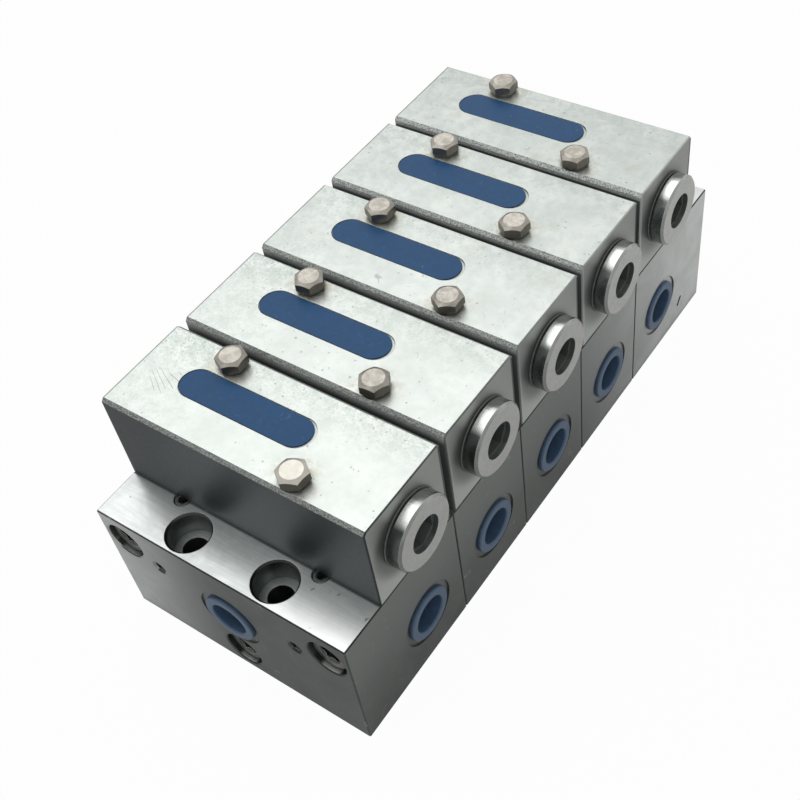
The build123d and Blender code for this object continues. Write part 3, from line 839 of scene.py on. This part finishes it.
def side_colour(tree, place, normal, side, lit_side):
    """A side: a painted highlight near its top, dark elsewhere, painted paler past the top and along the
    row.
    """
    towards_strip = vector_step(tree, "DOT_PRODUCT", normal, highlight_normal)["Value"]
    # Painted highlight on a strip near the top of a round side, then painted light paler past the top and
    # along the row
    lit = soft_step(tree, towards_strip, 0.9, 0.99)
    facing_back = axes(tree, normal)["Y"]
    past_top = soft_step(tree, facing_back, -0.3, 0.4, 0.0, 0.3)
    paler_back = soft_step(tree, place["Y"], solid_low.y, solid_high.y, 0.9, 2.6)
    around = mixed(tree, past_top, mixed(tree, 1.0, side, paler_back, "MULTIPLY"), lit_side)
    return mixed(tree, lit, around, lit_side)


def small_steel(
    name,
    outward,
    colour,
    side,
    worn,
    rough,
    mottled=0.4,
    specks_seen=0.4,
    faced=(0.55, 0.95),
    lit_side=None,
    hollow=0.6,
    inside=hole_dark,
    side_rough=0.0,
    fresh_crown=False,
):
    """A steel for parts whose finished face looks along the outward axis, X, Y or Z."""
    material, tree, shader, where = start_finish(name)
    spot = where["Object"]
    place = axes(tree, spot)
    facing = calc(tree, "ABSOLUTE", axes(tree, where["Normal"])[outward])
    finished = soft_step(tree, facing, *faced)
    edge = placed(tree, worn_corner, Radius=0.16 * MM)
    grime_and_shade = placed(tree, grime_and_shade_group, Reach=1.2 * MM)
    clouds = placed(tree, cloud_group, Vector=spot, Scale=450.0, Cover=0.5, Softness=0.2)["Mask"]
    specks = placed(tree, speck_group, Vector=spot, Scale=1700.0, Size=0.3, Share=0.35)["Mask"]
    # Painted shade at the foot, weaker towards the rear, and in the hole
    foot_shade_seen = soft_step(tree, place["Y"], 0.0, solid_high.y, 0.6, 0.2)
    foot_shade = times(tree, grime_and_shade["Corners"], foot_shade_seen)
    hole = grime_and_shade["Holes"]
    if outward == "X":
        in_mouth = calc(tree, "LESS_THAN", from_plugs(tree, place), plug_mouth + 0.05 * MM)
        hole = calc(tree, "MAXIMUM", hole, in_mouth)
    seen = mixed(tree, finished, side_colour(tree, place, where["Normal"], side, lit_side or side), colour)
    seen = layered(tree, seen, (clouds, mottled, side), (specks, specks_seen, speck_and_shade_dark))
    seen = layered(tree, seen, (edge["Wear"], 0.6, worn), (foot_shade, 1.0, grime_and_shade_dark))
    if fresh_crown:
        crown = times(tree, fresh_bolt(tree, place), finished)
        seen = layered(tree, seen, (crown, 0.6, worn_pale))
    seen = layered(tree, seen, (hole, hollow, inside))
    even = between(tree, clouds, rough, rough + 0.1)
    even = calc(tree, "ADD", even, between(tree, finished, side_rough, 0.0))
    roughness = calc(tree, "ADD", even, times(tree, hole, 0.3))
    feed(tree, shader, Base_Color=seen, Metallic=between(tree, hole, 0.9, 0.3), Roughness=roughness)
    relief(tree, shader, clouds, 0.05, 0.01 * MM, edge["Normal"])
    return material


print("one recipe for every small steel part, its bright strip facing", highlight_normal)

# %% Make the finishes of the small steel parts
finishes["plug_steel"] = small_steel(
    "Plug steel",
    "X",
    colour=(0.46, 0.465, 0.44),
    side=(0.085, 0.093, 0.09),
    worn=(0.6, 0.61, 0.59),
    rough=0.18,
    mottled=0.1,
    specks_seen=0.08,
    lit_side=(0.78, 0.8, 0.78),
    hollow=0.9,
    inside=(0.085, 0.1, 0.095),
)
finishes["bolt_steel"] = small_steel(
    "Bolt steel",
    "Z",
    colour=(0.49, 0.465, 0.41),
    side=(0.1, 0.092, 0.078),
    worn=(0.12, 0.11, 0.09),
    rough=0.2,
    mottled=0.42,
    specks_seen=0.5,
    faced=(0.68, 1.0),
    side_rough=0.15,
    fresh_crown=True,
)
finishes["washer_steel"] = small_steel(
    "Washer steel", "Z", (0.13, 0.13, 0.12), (0.06, 0.06, 0.058), (0.4, 0.4, 0.38), 0.35
)
finishes["screw_steel"] = small_steel(
    "Screw steel", "Y", (0.13, 0.13, 0.12), (0.05, 0.05, 0.048), (0.6, 0.6, 0.58), 0.3, hollow=0.85
)
finishes["set_screw_steel"] = small_steel(
    "Set screw steel", "Y", (0.03, 0.032, 0.03), (0.02, 0.02, 0.02), (0.35, 0.35, 0.33), 0.4, hollow=0.5
)
finishes["ledge_screw_steel"] = small_steel(
    "Ledge screw steel", "Z", (0.2, 0.21, 0.2), (0.1, 0.105, 0.1), (0.5, 0.5, 0.48), 0.3, hollow=0.3
)
finishes["piston_steel"] = small_steel(
    "Piston steel",
    "X",
    colour=(0.5, 0.51, 0.52),
    side=(0.45, 0.46, 0.47),
    worn=(0.8, 0.8, 0.8),
    rough=0.12,
    mottled=0.15,
    specks_seen=0.1,
)
print("finishes of small parts:", [finishes[key].name for key in list(finishes)[2:]])

# %% [markdown]
# ## Plastic caps, enamel plates and rubber rings
#
# The port caps are moulded in soft slate blue plastic with a fine grain. The inside of a cap is painted a
# brighter blue, a painted glow, and its corners a paler blue, a painted highlight. The plates on the valves
# are plain blue enamel with painted shade round their edges, and the rings are dark rubber with a dusty
# bloom. Each of the three is a short function, because they share nothing but the groups.

# %% Make the plastic, enamel and rubber
cap_blue = (0.062, 0.112, 0.19)
cap_cloud = (0.078, 0.135, 0.225)
# Painted highlight on the corners of a cap, and a painted glow inside it
cap_corner_highlight = (0.13, 0.21, 0.31)
cap_inside_glow = (0.13, 0.235, 0.42)
plate_blue = (0.02, 0.088, 0.215)
plate_cloud = (0.03, 0.106, 0.25)
plate_scratch = (0.2, 0.3, 0.45)
plate_rim = (0.2, 0.19, 0.16)
# Painted shade round the edge of a plate
plate_edge_shade = (0.05, 0.05, 0.05)
rubber_dark = (0.13, 0.138, 0.136)
rubber_bloom = (0.19, 0.2, 0.196)


def cap_plastic():
    """The soft blue plastic of the port caps, with a painted glow inside and painted highlights on its
    corners.
    """
    material, tree, shader, where = start_finish("Cap plastic", IOR=1.5)
    edge = placed(tree, worn_corner, Radius=0.3 * MM)
    clouds = placed(tree, cloud_group, Vector=where["Object"], Scale=500.0, Cover=0.4)["Mask"]
    inside = placed(tree, grime_and_shade_group, Depth=9.0 * MM)["Holes"]
    colour = mixed(tree, clouds, cap_blue, cap_cloud)
    # Painted highlight on the corners and a painted glow inside the cap
    colour = layered(tree, colour, (edge["Wear"], 0.5, cap_corner_highlight), (inside, 0.9, cap_inside_glow))
    feed(tree, shader, Base_Color=colour, Roughness=between(tree, clouds, 0.42, 0.55))
    grain = node_in(tree, "TexNoise", Vector=where["Object"], Scale=4000.0, Detail=2.0).outputs["Fac"]
    relief(tree, shader, grain, 0.3, 0.03 * MM, edge["Normal"])
    return material


def badge_enamel():
    """The blue enamel of the plates, with a dull worn rim."""
    material, tree, shader, where = start_finish("Badge enamel", Specular_IOR_Level=0.25)
    edge = placed(tree, worn_corner, Radius=0.3 * MM, Width=0.3)
    grime_and_shade = placed(tree, grime_and_shade_group, Reach=0.5 * MM)["Corners"]
    clouds = placed(tree, cloud_group, Vector=where["Object"], Scale=350.0, Cover=0.45)["Mask"]
    hairs = placed(tree, hairline_group, Vector=where["Object"], Scale=300.0, Width=0.02, Share=0.4)["Mask"]
    colour = mixed(tree, clouds, plate_blue, plate_cloud)
    colour = layered(tree, colour, (hairs, 0.25, plate_scratch), (edge["Wear"], 0.8, plate_rim))
    # Painted shade round the edge of the plate
    colour = layered(tree, colour, (grime_and_shade, 0.6, plate_edge_shade))
    feed(tree, shader, Base_Color=colour, Roughness=between(tree, clouds, 0.42, 0.55))
    relief(tree, shader, clouds, 0.1, 0.02 * MM, edge["Normal"])
    return material


def seal_rubber():
    """The matt rubber of every sealing ring."""
    material, tree, shader, where = start_finish("Seal rubber", IOR=1.5)
    edge = placed(tree, worn_corner, Radius=0.15 * MM)
    clouds = placed(tree, cloud_group, Vector=where["Object"], Scale=700.0, Cover=0.4)["Mask"]
    colour = mixed(tree, clouds, rubber_dark, rubber_bloom)
    feed(tree, shader, Base_Color=colour, Roughness=between(tree, clouds, 0.5, 0.68))
    relief(tree, shader, clouds, 0.2, 0.02 * MM, edge["Normal"])
    return material


finishes["cap_plastic"] = cap_plastic()
finishes["badge_enamel"] = badge_enamel()
finishes["seal_rubber"] = seal_rubber()
print("finishes so far:", len(finishes))

# %% [markdown]
# ## Dressing the solids
#
# A solid keeps its mesh and only gets a better material in its slots. The start of a solid's name says
# which finish it takes. The first start that fits counts, so the ring of an end plug stands before the
# plug.

# %% Give every solid its finish
finish_by_name = {
    "inlet_block": "section_steel",
    "middle_block": "section_steel",
    "end_block": "section_steel",
    "valve_body": "valve_steel",
    "piston": "piston_steel",
    "end_plug_seal": "seal_rubber",
    "end_plug": "plug_steel",
    "valve_bolts": "bolt_steel",
    "lock_washers": "washer_steel",
    "badge": "badge_enamel",
    "valve_seals": "seal_rubber",
    "block_seals": "seal_rubber",
    "outlet_caps": "cap_plastic",
    "inlet_cap": "cap_plastic",
    "tie_screws": "screw_steel",
    "passage_screws": "set_screw_steel",
    "ledge_screws": "ledge_screw_steel",
}
for name, solid in solids.items():
    family = next(start for start in finish_by_name if name.startswith(start))
    for slot in solid.material_slots:
        slot.material = finishes[finish_by_name[family]]
print("dressed", len(solids), "solids with", len(finishes), "finishes")

# %% [markdown]
# ## The studio
#
# The block stands on a pale floor. A floor that only reflects light would look grey, so part of its shader
# glows for camera, mirror and glass rays alone: the picture sees a nearly white floor, and the steel
# mirrors a dimmer one, so its lower faces stay dark. The same trick makes the world white for all those
# rays, while the light it sheds on the block stays low.

# %% Lay the floor
def seen_directly(tree, to_camera, to_mirror):
    """How strongly the background glows for a camera ray, and for one off a mirror or through glass."""
    ray = node_in(tree, "LightPath").outputs
    mirrored = calc(tree, "MAXIMUM", ray["Is Glossy Ray"], ray["Is Transmission Ray"])
    for_mirror = times(tree, mirrored, to_mirror)
    return calc(tree, "MAXIMUM", times(tree, ray["Is Camera Ray"], to_camera), for_mirror)


floor_half = 2.0
floor_drop = 0.02 * MM
corners = [(x * floor_half, y * floor_half, -floor_drop) for x, y in ((-1, -1), (1, -1), (1, 1), (-1, 1))]
floor_mesh = bpy.data.meshes.new("studio_floor")
floor_mesh.from_pydata(corners, [], [(0, 1, 2, 3)])
floor = bpy.data.objects.new("studio_floor", floor_mesh)
bpy.context.scene.collection.objects.link(floor)

floor_glow = 0.97
mirrored_glow = 0.3
floor_finish, tree, shader, where = start_finish("Pale floor", Roughness=0.9)
shader.inputs["Base Color"].default_value = (0.84, 0.84, 0.84, 1.0)
glow = node_in(tree, "Emission", Color=(1.0, 1.0, 1.0), Strength=1.0)
blend = node_in(tree, "MixShader", Fac=seen_directly(tree, floor_glow, mirrored_glow))
wire(tree, shader.outputs["BSDF"], blend.inputs[1])
wire(tree, glow.outputs["Emission"], blend.inputs[2])
wire(tree, blend.outputs["Shader"], tree.nodes["Material Output"].inputs["Surface"])
floor_mesh.materials.append(floor_finish)
print("floor is", 2 * floor_half, "m wide")

# %% Fill the world with pale light
world_light = 0.5
world = bpy.data.worlds.new("studio_world")
bpy.context.scene.world = world
world.use_nodes = True
tree = world.node_tree
background = tree.nodes["Background"]
background.inputs["Color"].default_value = (1.0, 1.0, 1.0, 1.0)
wire(tree, calc(tree, "MAXIMUM", seen_directly(tree, 1.0, 1.0), world_light), background.inputs["Strength"])
bpy.context.scene.view_settings.view_transform = "Standard"
print("world light for the block:", world_light)

# %% [markdown]
# ## The lamp
#
# One large soft lamp hangs high on the left and a little behind the block, where the tops mirror it towards
# the camera. A small lamp would leave hard shadows and a glaring spot on each bolt. This one is several
# times as wide as the block, so its shadows are soft, and the pale light of the world fills them.

# %% Hang the lamp
block_middle = (solid_low + solid_high) / 2
lamp_direction = Vector((-0.42, 0.18, 0.89)).normalized()
lamp_distance = 0.9
lamp_data = bpy.data.lights.new("key_lamp", "AREA")
lamp_data.shape = "RECTANGLE"
lamp_data.size = 1.15
lamp_data.size_y = 0.9
lamp_data.energy = 2.25
lamp = bpy.data.objects.new("key_lamp", lamp_data)
lamp.location = block_middle + lamp_direction * lamp_distance
lamp.rotation_mode = "QUATERNION"
lamp.rotation_quaternion = (-lamp_direction).to_track_quat("-Z", "Y")
bpy.context.scene.collection.objects.link(lamp)
print(lamp.name, "hangs", lamp_distance, "m from the middle of the block")
